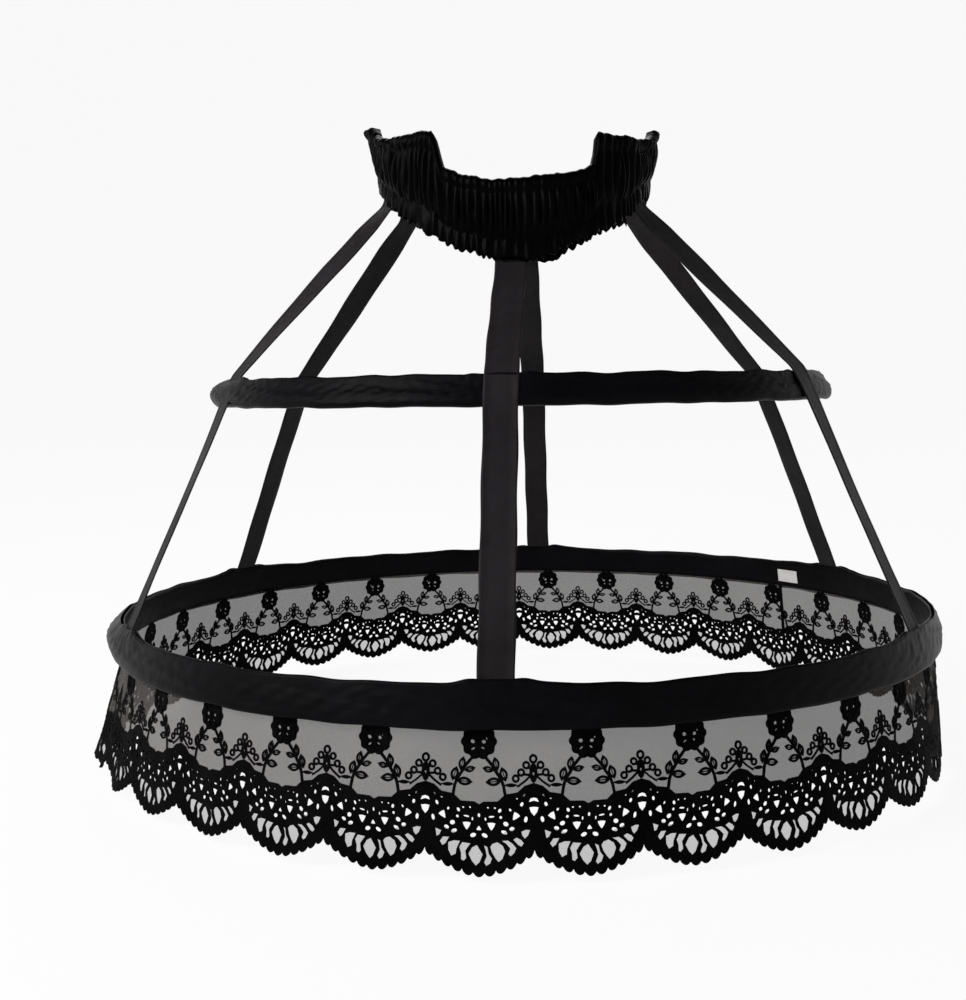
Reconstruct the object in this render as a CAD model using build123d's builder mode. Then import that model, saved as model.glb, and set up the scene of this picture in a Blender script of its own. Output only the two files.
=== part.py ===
from build123d import *
import os
from math import cos, degrees, pi, radians, sin, sqrt, tan

os.makedirs("parts", exist_ok=True)

# A crinoline cage: a gathered elastic waistband, six woven tapes, two hoops of
# flat steel in satin casings, and a scalloped lace hem. It is modelled as worn:
# hung from the waist, on +Z. The origin is the middle of the waist opening and
# the front is towards -Y. A bearing is an angle about Z, from the front
# towards +X. All lengths are in millimetres.

# Waistband
waist_girth = 600.0
band_height = 51.0
band_top_at_side = 44.0
front_sag = 46.0
back_sag = 28.0
sag_power = 1.5
band_ply = 1.0
band_frill = 9.0
elastic_width = 30.0
elastic_thickness = 1.5
elastic_room = 0.25
edge_points = 9

# Tapes
tape_names = ["front", "front_right", "back_right", "back", "back_left", "front_left"]
tape_width = 19.0
tape_thickness = 0.9
seam_tuck = 5.0
tape_bend = 2.0
tape_room = 0.1

# Hoops and their casings
mid_width = 412.0
mid_drop = 130.0
mid_casing_height = 18.0
mid_tilt = 20.0
hem_width = 550.0
hem_drop = 284.9
hem_casing_height = 22.0
hem_tilt = 9.5
casing_ply = 0.7
mid_seam_gap = 0.3
hoop_steel_width = 7.0
hoop_steel_thickness = 1.0
hoop_end_gap = 2.0
sleeve_length = 30.0
sleeve_wall = 0.4
fit_room = 0.1
joint_bearing = 131.2

# Lace hem
lace_repeats = 32
lace_first_bearing = -1.85
lace_drop = 71.0
lace_flare = 7.5
lace_thickness = 0.8
lace_tuck = 5.0
scallop_depth = 13.4

# Blank white care label, sewn flat inside the hem casing
label_width = 20.0
label_height = 10.0
label_thickness = 0.4
label_bearing = 129.6

# Worked out from the sizes above
waist_radius = waist_girth / (2 * pi)
band_pocket = elastic_thickness + 2 * elastic_room
band_inside = waist_radius - band_pocket / 2 - band_ply
band_outside = waist_radius + band_pocket / 2 + band_ply
sleeve_height = hoop_steel_width + 2 * (fit_room + sleeve_wall)
sleeve_thickness = hoop_steel_thickness + 2 * (fit_room + sleeve_wall)
casing_gap = sleeve_thickness + 2 * fit_room
casing_room = sleeve_height + 2 * fit_room
tape_crown = tape_width**2 / (4 * hem_width)
hem_seam_gap = tape_thickness + tape_crown + 2 * tape_room


def direction(bearing):
    """The angle about Z, from +X, of a bearing taken from the front."""
    return radians(bearing - 90)


def write(piece, name):
    """Label one finished piece and write its file."""
    piece.label = name
    export_step(piece, f"parts/{name}.step")


def radial_plane(bearing, radius=0.0, height=0.0, tilt=0.0):
    """A plane through the Z axis: local x points outward, local y up the slant."""
    a = direction(bearing)
    t = radians(tilt)
    outward = (cos(t) * cos(a), cos(t) * sin(a), sin(t))
    place = (radius * cos(a), radius * sin(a), height)
    return Plane(origin=place, x_dir=outward, z_dir=(sin(a), -cos(a), 0))


def fold_reach(height, seam_gap):
    """Half a casing's thickness at its fold, so that the steel's sleeve fits above."""
    inner_height = height - casing_ply
    spread = (casing_gap - seam_gap) / 2 * inner_height / (inner_height - casing_room)
    return seam_gap / 2 + spread + casing_ply


def centre_radius(width, height, tilt, reach):
    """Radius at a casing's middle, whose widest point is half the width."""
    t = radians(tilt)
    return width / 2 - reach * cos(t) - height / 2 * sin(t)


mid_reach = fold_reach(mid_casing_height, mid_seam_gap)
hem_reach = fold_reach(hem_casing_height, hem_seam_gap)
mid_radius = centre_radius(mid_width, mid_casing_height, mid_tilt, mid_reach)
hem_radius = centre_radius(hem_width, hem_casing_height, hem_tilt, hem_reach)


def on_slant(radius, drop, tilt, out, up):
    """Radius and height of a point given beside a casing's middle."""
    t = radians(tilt)
    return radius + out * cos(t) - up * sin(t), -drop + out * sin(t) + up * cos(t)


def hang(x, sag):
    """How far an edge of the band hangs below its sides, at a place x across."""
    across = min(abs(x) / waist_radius, 1.0)
    return sag * (1 - across**sag_power)


def band_slab(top, bottom, sag, side):
    """The band's sagged strip seen from the front, on one side of the X axis."""
    reach = waist_radius + band_frill
    steps = range(-edge_points, edge_points + 1)
    across = [waist_radius * step / edge_points for step in steps]
    with BuildPart() as slab:
        with BuildSketch(Plane.XZ):
            with BuildLine():
                upper = Spline(*[(x, top - hang(x, sag)) for x in across])
                lower = Spline(*[(x, bottom - hang(x, sag)) for x in across])
                Polyline(upper @ 0, (-reach, top), (-reach, bottom), lower @ 0)
                Polyline(upper @ 1, (reach, top), (reach, bottom), lower @ 1)
            make_face()
        extrude(amount=side * reach)
    return slab.part


def ring_wall(inside, outside):
    """An upright round wall, tall enough for any edge of the band."""
    tall = 4 * (band_height + front_sag)
    with BuildPart() as wall:
        with BuildSketch(Plane.XY.offset(-tall / 2)):
            Circle(outside)
            Circle(inside, mode=Mode.SUBTRACT)
        extrude(amount=tall)
    return wall.part


def sagged_ring(inside, outside, top, bottom):
    """A round wall cut to the band's sagged edges, front and back."""
    with BuildPart() as ring:
        add(band_slab(top, bottom, front_sag, 1))
        add(band_slab(top, bottom, back_sag, -1))
        add(ring_wall(inside, outside), mode=Mode.INTERSECT)
    return ring.part


band_top = band_top_at_side
band_bottom = band_top - band_height
pocket_inside = waist_radius - band_pocket / 2
pocket_outside = waist_radius + band_pocket / 2

# Waistband: one strip of satin folded over at its top edge, so its two plies
# leave a pocket for the elastic, open below where the tapes go in
with BuildPart() as waistband:
    add(sagged_ring(band_inside, band_outside, band_top, band_bottom))
    pocket_top = band_top - band_frill
    pocket_bottom = band_bottom - band_height
    add(sagged_ring(pocket_inside, pocket_outside, pocket_top, pocket_bottom), mode=Mode.SUBTRACT)
write(waistband.part, "waistband")

# Elastic: a flat woven loop, loose in the pocket under the top fold
with BuildPart() as waist_elastic:
    elastic_top = band_top - band_frill - elastic_room
    elastic_bottom = elastic_top - elastic_width
    half = elastic_thickness / 2
    add(sagged_ring(waist_radius - half, waist_radius + half, elastic_top, elastic_bottom))
write(waist_elastic.part, "waist_elastic")


def casing(radius, drop, height, tilt, seam_gap, reach):
    """A strip folded round a hoop: its fold is below, its seam open at the top."""
    seam = seam_gap / 2
    top = height / 2
    outside = [(seam, top), (seam + casing_ply, top), (reach, -top)]
    inside = [(seam, top), (reach - casing_ply, casing_ply - top)]
    with BuildPart() as cover:
        with BuildSketch(radial_plane(90, radius, -drop, tilt)):
            with BuildLine():
                Polyline(*outside, *[(-x, y) for x, y in reversed(outside)])
                Polyline(*inside, *[(-x, y) for x, y in reversed(inside)])
            make_face()
        revolve(axis=Axis.Z)
    return cover.part


def steel_height(casing_height):
    """How high a steel's middle lies above its casing's, as it rests on the fold."""
    return casing_ply + casing_room / 2 - casing_height / 2


def hoop(radius, drop, tilt, lift):
    """Flat steel bent to a ring, its two ends a small gap apart."""
    gap = degrees(hoop_end_gap / radius)
    with BuildPart() as steel:
        with BuildSketch(radial_plane(joint_bearing + gap / 2, radius, -drop, tilt)):
            with Locations((0, lift)):
                Rectangle(hoop_steel_thickness, hoop_steel_width)
        revolve(axis=Axis.Z, revolution_arc=360 - gap)
    return steel.part


def sleeve(radius, drop, tilt, lift):
    """A flat tube pressed over the hoop's two ends."""
    arc = degrees(sleeve_length / radius)
    inside = (hoop_steel_thickness + 2 * fit_room, hoop_steel_width + 2 * fit_room)
    with BuildPart() as tube:
        with BuildSketch(radial_plane(joint_bearing - arc / 2, radius, -drop, tilt)):
            with Locations((0, lift)):
                Rectangle(sleeve_thickness, sleeve_height)
                Rectangle(*inside, mode=Mode.SUBTRACT)
        revolve(axis=Axis.Z, revolution_arc=arc)
    return tube.part


# Hoops: each is a steel, a sleeve over its ends and a casing round both
at_mid = (mid_radius, mid_drop, mid_tilt)
at_hem = (hem_radius, hem_drop, hem_tilt)
mid_lift = steel_height(mid_casing_height)
hem_lift = steel_height(hem_casing_height)
mid_strip = (mid_radius, mid_drop, mid_casing_height, mid_tilt, mid_seam_gap, mid_reach)
hem_strip = (hem_radius, hem_drop, hem_casing_height, hem_tilt, hem_seam_gap, hem_reach)
write(casing(*mid_strip), "mid_casing")
write(hoop(*at_mid, mid_lift), "mid_hoop")
write(sleeve(*at_mid, mid_lift), "mid_sleeve")
write(casing(*hem_strip), "hem_casing")
write(hoop(*at_hem, hem_lift), "hem_hoop")
write(sleeve(*at_hem, hem_lift), "hem_sleeve")


def band_edge(bearing):
    """Height of the band's lower edge at a bearing."""
    sag = front_sag if cos(radians(bearing)) > 0 else back_sag
    return band_bottom - hang(waist_radius * sin(radians(bearing)), sag)


def tape_exit(bearing):
    """Lowest edge of the band that a tape must pass under, over its width."""
    half_turn = degrees(tape_width / 2 / waist_radius)
    return min(band_edge(bearing + turn) for turn in (-half_turn, 0, half_turn))


def tape_route(bearing):
    """The tape's middle line, as radius and height, from the band to the hem."""
    stand_off = tape_thickness / 2 + tape_room
    band_crown = tape_width**2 / (8 * waist_radius)
    in_band = waist_radius - band_crown / 2
    low = tape_exit(bearing) - tape_bend
    band_tuck = band_height - band_frill - elastic_width
    seam_edge = mid_seam_gap / 2 + casing_ply + stand_off
    half_mid = mid_casing_height / 2
    half_hem = hem_casing_height / 2
    return [
        (in_band, low + band_tuck),
        (in_band, low),
        on_slant(*at_mid, seam_edge, half_mid + stand_off / 2),
        on_slant(*at_mid, mid_reach + stand_off, -half_mid),
        on_slant(*at_hem, -tape_crown / 2, half_hem + tape_bend / 2),
        on_slant(*at_hem, -tape_crown / 2, half_hem - seam_tuck),
    ]


def tape(bearing):
    """A woven tape: out from under the band, over the mid hoop, into the hem."""
    with BuildPart() as woven:
        with BuildSketch(radial_plane(bearing)):
            with BuildLine():
                FilletPolyline(*tape_route(bearing), radius=tape_bend / 2)
            trace(line_width=tape_thickness)
        extrude(amount=tape_width / 2, both=True)
    return woven.part


for index, place in enumerate(tape_names):
    write(tape(index * 360 / len(tape_names)), f"tape_{place}")


# Lace hem: a ring sewn behind the casing's fold, its lower edge in scallops. The
# casing's inner face leans by its own tilt, less what the plies spread below
face_lean = (hem_reach - hem_seam_gap / 2 - casing_ply) / hem_casing_height
behind_fold = -hem_reach - tape_room
behind_stitch = behind_fold + face_lean * lace_tuck
at_fold = -hem_casing_height / 2
lace_top = on_slant(*at_hem, behind_stitch, at_fold + lace_tuck)
fold_height = on_slant(*at_hem, behind_fold, at_fold)[1]
tip_height = fold_height - lace_drop
tip_radius = lace_top[0] + (lace_top[1] - tip_height) * tan(radians(lace_flare))
valley_height = tip_height + scallop_depth
pitch = 360 / lace_repeats
half_pitch = tip_radius * tan(radians(pitch / 2))
scallop_radius = (half_pitch**2 + scallop_depth**2) / (2 * scallop_depth)


def scallop():
    """One round of the lower edge, seen square on, reaching up past its valleys."""
    lap = lace_thickness
    side = half_pitch + lap
    rise = scallop_radius - sqrt(scallop_radius**2 - side**2)
    with BuildPart() as petal:
        with BuildSketch(Plane.XZ.offset(tip_radius - 2 * scallop_depth)):
            with BuildLine():
                edge = ThreePointArc(
                    (-side, tip_height + rise), (0, tip_height), (side, tip_height + rise)
                )
                top = valley_height + 2 * lap
                Polyline(edge @ 0, (-side, top), (side, top), edge @ 1)
            make_face()
        extrude(amount=4 * scallop_depth)
    return petal.part


def scalloped_space():
    """All the space that the hem may fill: a ring with its rounds below."""
    wide = 2 * scallop_depth
    tall = lace_drop + 2 * hem_casing_height
    with BuildPart() as space:
        with BuildSketch(Plane.XY.offset(valley_height + lace_thickness)):
            Circle(tip_radius + wide)
            Circle(tip_radius - wide, mode=Mode.SUBTRACT)
        extrude(amount=tall)
        petal = scallop()
        for index in range(lace_repeats):
            add(petal.rotate(Axis.Z, lace_first_bearing + index * pitch))
    return space.part


with BuildPart() as lace_trim:
    with BuildSketch(Plane.XZ):
        with BuildLine():
            spare = 2 * lace_thickness
            past_tip = (tip_radius + spare * tan(radians(lace_flare)), tip_height - spare)
            outer = [lace_top, past_tip]
            inner = [(r - lace_thickness, z) for r, z in reversed(outer)]
            Polyline(*outer, *inner, close=True)
        make_face()
    revolve(axis=Axis.Z)
    add(scalloped_space(), mode=Mode.INTERSECT)
write(lace_trim.part, "lace_trim")


# Care label: a blank white ribbon, flat on the casing's inner ply
label_crown = label_width**2 / (8 * hem_radius)
label_out = -hem_reach - label_crown - tape_room / 2 - label_thickness / 2
with BuildPart() as care_label:
    with BuildSketch(radial_plane(label_bearing, hem_radius, -hem_drop, hem_tilt)):
        with Locations((label_out, 0)):
            Rectangle(label_thickness, label_height)
    extrude(amount=label_width / 2, both=True)
write(care_label.part, "care_label")
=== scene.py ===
# %% [markdown]
# # A crinoline cage
#
# This lesson dresses a measured model of a small crinoline cage: a gathered
# satin waistband, six woven tapes, two steel hoops in satin casings and a hem of
# black lace. The measured model is the frame. It is never moved. The steels and
# the label keep their own shape and only get a finish, and every other piece of
# cloth is made again here with its real folds. Lengths are in metres.

import math

import bmesh
import bpy
import numpy as np
from mathutils import Matrix, Vector
from mathutils.geometry import tessellate_polygon


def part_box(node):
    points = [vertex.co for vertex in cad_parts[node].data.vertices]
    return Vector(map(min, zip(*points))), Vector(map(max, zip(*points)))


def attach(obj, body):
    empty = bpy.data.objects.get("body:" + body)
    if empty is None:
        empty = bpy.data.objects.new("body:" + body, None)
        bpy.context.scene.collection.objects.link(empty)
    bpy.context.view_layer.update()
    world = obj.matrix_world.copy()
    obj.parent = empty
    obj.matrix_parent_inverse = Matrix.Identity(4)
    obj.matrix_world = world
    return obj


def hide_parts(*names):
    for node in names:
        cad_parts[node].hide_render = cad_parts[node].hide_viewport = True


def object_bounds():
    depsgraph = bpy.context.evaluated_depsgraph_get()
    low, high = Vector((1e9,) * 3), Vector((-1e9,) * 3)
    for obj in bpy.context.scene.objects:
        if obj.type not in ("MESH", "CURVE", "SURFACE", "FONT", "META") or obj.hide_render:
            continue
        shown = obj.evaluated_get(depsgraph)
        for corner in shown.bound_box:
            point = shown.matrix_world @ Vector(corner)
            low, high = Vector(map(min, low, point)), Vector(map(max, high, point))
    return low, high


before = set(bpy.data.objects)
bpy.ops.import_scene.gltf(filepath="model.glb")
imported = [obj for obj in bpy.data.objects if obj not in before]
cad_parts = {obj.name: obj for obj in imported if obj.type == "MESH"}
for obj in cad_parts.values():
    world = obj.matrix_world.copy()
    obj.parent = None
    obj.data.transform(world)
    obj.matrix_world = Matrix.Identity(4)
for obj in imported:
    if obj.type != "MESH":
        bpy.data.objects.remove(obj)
cad_low, cad_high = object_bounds()
print("frame box", [round(1000 * (b - a)) for a, b in zip(cad_low, cad_high)], "mm")

# %% [markdown]
# ## The camera
#
# The picture to match was taken from a little above the hem and almost straight
# in front, with the camera turned a hair to one side. Three plain numbers give
# its place and three its turn, which say more than a constraint would.

# %% Camera
CAMERA_PLACE = Vector((0.0461, -0.8912, -0.12945))
CAMERA_LENS_MM = 46.58
CAMERA_FILM_MM = 36
LOOK_ACROSS = Vector((-0.0819, 0.9966, 0))
LOOK_DOWN = math.radians(4.906)
CAMERA_ROLL = math.radians(-0.87)

ahead = LOOK_ACROSS.normalized() * math.cos(LOOK_DOWN) - Vector((0, 0, math.sin(LOOK_DOWN)))
level_right = ahead.cross(Vector((0, 0, 1))).normalized()
level_up = level_right.cross(ahead)
right = level_right * math.cos(CAMERA_ROLL) + level_up * math.sin(CAMERA_ROLL)
up = level_up * math.cos(CAMERA_ROLL) - level_right * math.sin(CAMERA_ROLL)

camera_data = bpy.data.cameras.new("camera")
camera_data.lens = CAMERA_LENS_MM
camera_data.sensor_width = CAMERA_FILM_MM
camera_data.clip_start = 0.01
camera = bpy.data.objects.new("camera", camera_data)
turn = Matrix((right, up, -ahead)).transposed()
camera.matrix_world = Matrix.Translation(CAMERA_PLACE) @ turn.to_4x4()
bpy.context.scene.collection.objects.link(camera)
bpy.context.scene.camera = camera
bpy.context.scene.view_settings.view_transform = "Standard"
print("camera looks", [round(x, 3) for x in ahead])

# %% [markdown]
# ## Small tools for node trees
#
# A node tree is easier to read when one line makes one node. `place` makes a node
# and fills its inputs: a socket is linked, anything else is written as a value.
# `calc` is the same for sums, `blend` for two colours and `relief` for a bump. A
# group's inputs and outputs are sockets of its interface, so `new_group` makes
# them by name.

# %% Node helpers
def fill(tree, socket, value):
    """Link a socket to another one, or write a plain value into it."""
    if isinstance(value, bpy.types.NodeSocket):
        tree.links.new(value, socket)
    else:
        socket.default_value = value


def fill_all(tree, made, inputs):
    """Fill several inputs of a node, by name or by number."""
    for name, value in inputs.items():
        fill(tree, made.inputs[name], value)
    return made


def place(tree, kind, inputs=None, **settings):
    """Make one shader node with its settings and inputs."""
    made = tree.nodes.new("ShaderNode" + kind)
    for name, value in settings.items():
        setattr(made, name, value)
    return fill_all(tree, made, inputs or {})


def calc(tree, operation, *values):
    """A sum of two or three values, each of them a socket or a number."""
    return place(tree, "Math", dict(enumerate(values)), operation=operation).outputs[0]


def blend(tree, share, first, second, way="MIX"):
    """Mix two colours, each of them a socket or three numbers."""
    made = place(tree, "Mix", data_type="RGBA", blend_type=way)
    colours = [(*c, 1) if isinstance(c, tuple) else c for c in (first, second)]
    return fill_all(tree, made, {0: share, 6: colours[0], 7: colours[1]}).outputs[2]


def relief(tree, height, strength, depth, under=None):
    """A bump from a height, on top of another bump if there is one."""
    made = place(tree, "Bump", {"Height": height, "Strength": strength, "Distance": depth})
    if under is not None:
        fill(tree, made.inputs["Normal"], under)
    return made.outputs["Normal"]


def new_group(name, inputs, outputs):
    """An empty node group with named number sockets. Inputs have a value each."""
    tree = bpy.data.node_groups.new(name, "ShaderNodeTree")
    for label, value in inputs.items():
        made = tree.interface.new_socket(label, in_out="INPUT", socket_type="NodeSocketFloat")
        made.default_value = value
    for label in outputs:
        tree.interface.new_socket(label, in_out="OUTPUT", socket_type="NodeSocketFloat")
    return tree, tree.nodes.new("NodeGroupInput").outputs, tree.nodes.new("NodeGroupOutput")


def use_group(tree, group, inputs):
    """Place a node group in a material."""
    made = tree.nodes.new("ShaderNodeGroup")
    made.node_tree = group
    return fill_all(tree, made, inputs).outputs


def new_material(name):
    """A material, with its node tree and the surface shader that it comes with."""
    material = bpy.data.materials.new(name)
    material.use_nodes = True
    tree = material.node_tree
    return material, tree, tree.nodes["Principled BSDF"]


# %% [markdown]
# ## The threads of a cloth
#
# Satin, tape and ribbon are all woven. What differs is how many threads there are
# to the metre and how far they stand up. One group makes two crossing waves from
# the cloth's own UV map, which is laid out in metres, so that a thread keeps its
# size on every piece. It puts out a height for a bump and a painted shade for the
# colour: darker in the valleys between threads and lighter on their crowns.

# %% Group: woven threads
TURN = 2 * math.pi
# Painted shade: the colour is multiplied by SHADE_LOW in the valleys between threads and by up to
# SHADE_LOW + SHADE_RISE on their crowns, as a painted highlight
SHADE_LOW = 0.82
SHADE_RISE = 0.35

weave, weave_in, weave_out = new_group(
    "woven_threads", {"Warp per metre": 3000.0, "Weft per metre": 3000.0}, ("Height", "Shade")
)
cloth_map = place(weave, "UVMap", uv_map="cloth")
parts = place(weave, "SeparateXYZ", {"Vector": cloth_map.outputs["UV"]}).outputs
across = calc(weave, "MULTIPLY", parts["X"], weave_in["Warp per metre"])
along = calc(weave, "MULTIPLY", parts["Y"], weave_in["Weft per metre"])
warp = calc(weave, "SINE", calc(weave, "MULTIPLY", across, TURN))
weft = calc(weave, "SINE", calc(weave, "MULTIPLY", along, TURN))
height = calc(weave, "MULTIPLY_ADD", calc(weave, "MULTIPLY", warp, weft), 0.5, 0.5)
shade = calc(weave, "MULTIPLY_ADD", height, SHADE_RISE, SHADE_LOW)
fill_all(weave, weave_out, {"Height": height, "Shade": shade})
print("group", weave.name)

# %% [markdown]
# ## Uneven dye and wear
#
# No black cloth is one black. Folds that were pressed, dust and the dye itself
# leave broad clouds and fine specks. The group mixes a broad noise and a fine
# one, and every cloth uses it with its own size and strength.

# %% Group: cloudy dye
FINER = 9.0
FINE_SHARE = 0.35
NOISE_MIDDLE = 0.67
NOISE_GAIN = 4.0

clouds, clouds_in, clouds_out = new_group(
    "cloudy_dye", {"Size per metre": 18.0, "Strength": 0.4}, ("Factor", "Wrinkle")
)
size = clouds_in["Size per metre"]
fine_size = calc(clouds, "MULTIPLY", size, FINER)
spot = place(clouds, "TexCoord").outputs["Object"]
broad = place(clouds, "TexNoise", {"Vector": spot, "Scale": size, "Detail": 3.0}).outputs[0]
fine = place(clouds, "TexNoise", {"Vector": spot, "Scale": fine_size, "Detail": 2.0}).outputs[0]
mixed = calc(clouds, "ADD", broad, calc(clouds, "MULTIPLY", fine, FINE_SHARE))
spread = calc(clouds, "MULTIPLY", calc(clouds, "SUBTRACT", mixed, NOISE_MIDDLE), NOISE_GAIN)
swing = calc(clouds, "MULTIPLY", spread, clouds_in["Strength"])
fill_all(clouds, clouds_out, {"Factor": calc(clouds, "ADD", swing, 0.5), "Wrinkle": fine})
print("group", clouds.name)

# %% [markdown]
# ## Cloth finishes
#
# One function makes a woven cloth from the two groups: the clouds run between a
# dark and a light tone, and the threads' painted shade lies on that, darker
# between threads and lighter on their crowns, and they give the bump. Satin has
# many fine threads and a soft gloss. Tape is coarser and duller, and the elastic
# is ribbed lengthwise. The gloss is a plain number on the shader itself.

# %% Cloth materials
DYE_STRENGTH = 0.55
DYE_POLISH = 0.12
WRINKLE_STRENGTH = 0.35
WRINKLE_DEPTH = 0.0006
THREAD_DEPTH = 0.0001
SHEEN_ROUGHNESS = 0.4


def woven_cloth(name, dark, light, rough, threads, bump, gloss, sheen, cloud_size=18.0):
    """A woven cloth with uneven dye, its threads and small wrinkles."""
    material, tree, shader = new_material(name)
    dye = use_group(tree, clouds, {"Size per metre": cloud_size, "Strength": DYE_STRENGTH})
    warp_count, weft_count = threads
    counts = {"Warp per metre": warp_count, "Weft per metre": weft_count}
    thread = use_group(tree, weave, counts)
    tone = blend(tree, dye["Factor"], dark, light)
    wrinkle = relief(tree, dye["Wrinkle"], WRINKLE_STRENGTH, WRINKLE_DEPTH)
    fill_all(tree, shader, {
        # Base colour times the threads' painted shade: darker between threads, lighter on their
        # crowns
        "Base Color": blend(tree, 1.0, tone, thread["Shade"], "MULTIPLY"),
        "Roughness": calc(tree, "MULTIPLY_ADD", dye["Factor"], -DYE_POLISH, rough + DYE_POLISH / 2),
        "Normal": relief(tree, thread["Height"], bump, THREAD_DEPTH, wrinkle),
        "Specular IOR Level": gloss,
        "Sheen Weight": sheen,
        "Sheen Roughness": SHEEN_ROUGHNESS,
    })
    print("cloth", name)
    return material


# Dark tone, light tone, roughness, threads per metre, thread relief, gloss and sheen
CLOTHS = {
    "black_satin": (
        (0.0010, 0.0008, 0.0012), (0.0032, 0.0027, 0.0038), 0.36, (2600, 5200), 0.25, 0.035, 0.0
    ),
    "gathered_satin": (
        (0.0003, 0.0002, 0.0003), (0.0010, 0.0008, 0.0011), 0.3, (2600, 5200), 0.2, 0.018, 0.0
    ),
    "woven_tape": (
        (0.0072, 0.0060, 0.0068), (0.0145, 0.0122, 0.0140), 0.6, (1400, 900), 0.7, 0.1, 0.02
    ),
    "black_elastic": (
        (0.008, 0.008, 0.009), (0.016, 0.016, 0.018), 0.7, (700, 2200), 0.8, 0.3, 0.1
    ),
    "white_ribbon": ((0.62, 0.61, 0.6), (0.8, 0.79, 0.77), 0.5, (4000, 2400), 0.3, 0.4, 0.1),
}
cloth = {name: woven_cloth(name, *numbers) for name, numbers in CLOTHS.items()}

# %% [markdown]
# ## Lace finishes
#
# The net is too fine to model, with holes of less than a millimetre. Its material
# draws rounded cells with darker thread between them, by the alpha. The ground is
# denser above the border and thinner in the fans below it, and there is none
# between. The first UV map holds metres round the hem and down from its top, and
# the second counts repeats, so both limits are heights that dip once a repeat.
# The embroidery is solid thread, with the same fine woven threads as the cloths.

# %% Group: net ground
LACE_REPEATS = 32
NET_CELL = 0.0008
NET_THREAD = 0.3
CELL_UNEVEN = 0.35

net_ground, net_in, net_out = new_group(
    "net_ground", {"Cell": NET_CELL, "Thread": NET_THREAD}, ("Thread mask",)
)
cells = place(
    net_ground,
    "TexVoronoi",
    {
        "Vector": place(net_ground, "UVMap", uv_map="cloth").outputs["UV"],
        "Scale": calc(net_ground, "DIVIDE", 1.0, net_in["Cell"]),
        "Randomness": CELL_UNEVEN,
    },
    feature="DISTANCE_TO_EDGE",
    voronoi_dimensions="2D",
)
reach = calc(net_ground, "DIVIDE", cells.outputs["Distance"], net_in["Thread"])
hollow = calc(net_ground, "MINIMUM", reach, 1.0)
fill_all(net_ground, net_out, {"Thread mask": calc(net_ground, "SUBTRACT", 1.0, hollow)})
print("group", net_ground.name)

# %% Lace materials
WINDOW_LOW, WINDOW_DIP, WINDOW_COVER = 0.0345, 0.0025, 0.52
FAN_TOP, FAN_DIP, FAN_COVER = 0.049, 0.0035, 0.22
NET_THREAD_COVER = 0.09

net_cloth, net_tree, net_shader = new_material("lace_net")
net_mesh = use_group(net_tree, net_ground, {"Cell": NET_CELL, "Thread": NET_THREAD})
net_place, repeat_place = [
    place(net_tree, "SeparateXYZ", {"Vector": place(net_tree, "UVMap", uv_map=name).outputs["UV"]})
    for name in ("cloth", "repeat")
]
down = net_place.outputs["Y"]
dip = calc(net_tree, "COSINE", calc(net_tree, "MULTIPLY", repeat_place.outputs["X"], TURN))
window_line = calc(net_tree, "MULTIPLY_ADD", dip, WINDOW_DIP, WINDOW_LOW)
in_window = calc(net_tree, "LESS_THAN", down, window_line)
in_fan = calc(net_tree, "GREATER_THAN", down, calc(net_tree, "MULTIPLY_ADD", dip, FAN_DIP, FAN_TOP))
window_cover = calc(net_tree, "MULTIPLY", in_window, WINDOW_COVER)
cover = calc(net_tree, "ADD", window_cover, calc(net_tree, "MULTIPLY", in_fan, FAN_COVER))
ground = calc(net_tree, "ADD", in_window, in_fan)
thread_cover = calc(net_tree, "MULTIPLY", net_mesh["Thread mask"], NET_THREAD_COVER)
net_dye = use_group(net_tree, clouds, {"Size per metre": 30.0, "Strength": 0.5})
fill_all(net_tree, net_shader, {
    "Alpha": calc(net_tree, "ADD", cover, calc(net_tree, "MULTIPLY", thread_cover, ground)),
    "Base Color": blend(net_tree, net_dye["Factor"], (0.065, 0.059, 0.056), (0.1, 0.092, 0.088)),
    "Roughness": 0.8,
    "Specular IOR Level": 0.1,
})
print("cloth", net_cloth.name)

lace_thread = woven_cloth(
    "lace_thread",
    (0.0010, 0.0009, 0.0010), (0.0032, 0.0028, 0.0031), 0.75, (1800, 600), 0.8, 0.02, 0.0,
    cloud_size=40.0,
)

# %% [markdown]
# ## Steel
#
# The two hoops are flat spring steel and each has a pressed sleeve. They hide in
# the casings, but they are real pieces, so they get brushed metal with a little
# unevenness from the same clouds.

# %% Steel material
def brushed_steel(name, dark, light, rough):
    """Metal with a fine uneven bump and uneven roughness from the clouds."""
    material, tree, shader = new_material(name)
    dye = use_group(tree, clouds, {"Size per metre": 60.0, "Strength": 0.6})
    fill_all(tree, shader, {
        "Base Color": blend(tree, dye["Factor"], dark, light),
        "Roughness": calc(tree, "MULTIPLY_ADD", dye["Wrinkle"], 0.2, rough),
        "Normal": relief(tree, dye["Wrinkle"], 0.2, 0.0001),
        "Metallic": 1.0,
    })
    print("metal", name)
    return material


hoop_steel = brushed_steel("hoop_steel", (0.28, 0.29, 0.3), (0.42, 0.42, 0.43), 0.3)
sleeve_steel = brushed_steel("sleeve_steel", (0.4, 0.4, 0.39), (0.55, 0.55, 0.54), 0.35)
FINISHES = {
    "mid_hoop": hoop_steel,
    "hem_hoop": hoop_steel,
    "mid_sleeve": sleeve_steel,
    "hem_sleeve": sleeve_steel,
    "care_label": cloth["white_ribbon"],
}
for node_name, material in FINISHES.items():
    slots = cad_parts[node_name].data.materials
    slots.clear()
    slots.append(material)

# %% [markdown]
# ## Sizes that the cloth follows
#
# The cloth lies where the frame's soft solids lie. Their main sizes are written
# here once, in the same words as in the frame's source, so each piece can be
# worked out from a bearing: the angle about the Z axis from the front, positive
# towards +X. Small sizes are written in millimetres and multiplied by `MM`.

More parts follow.
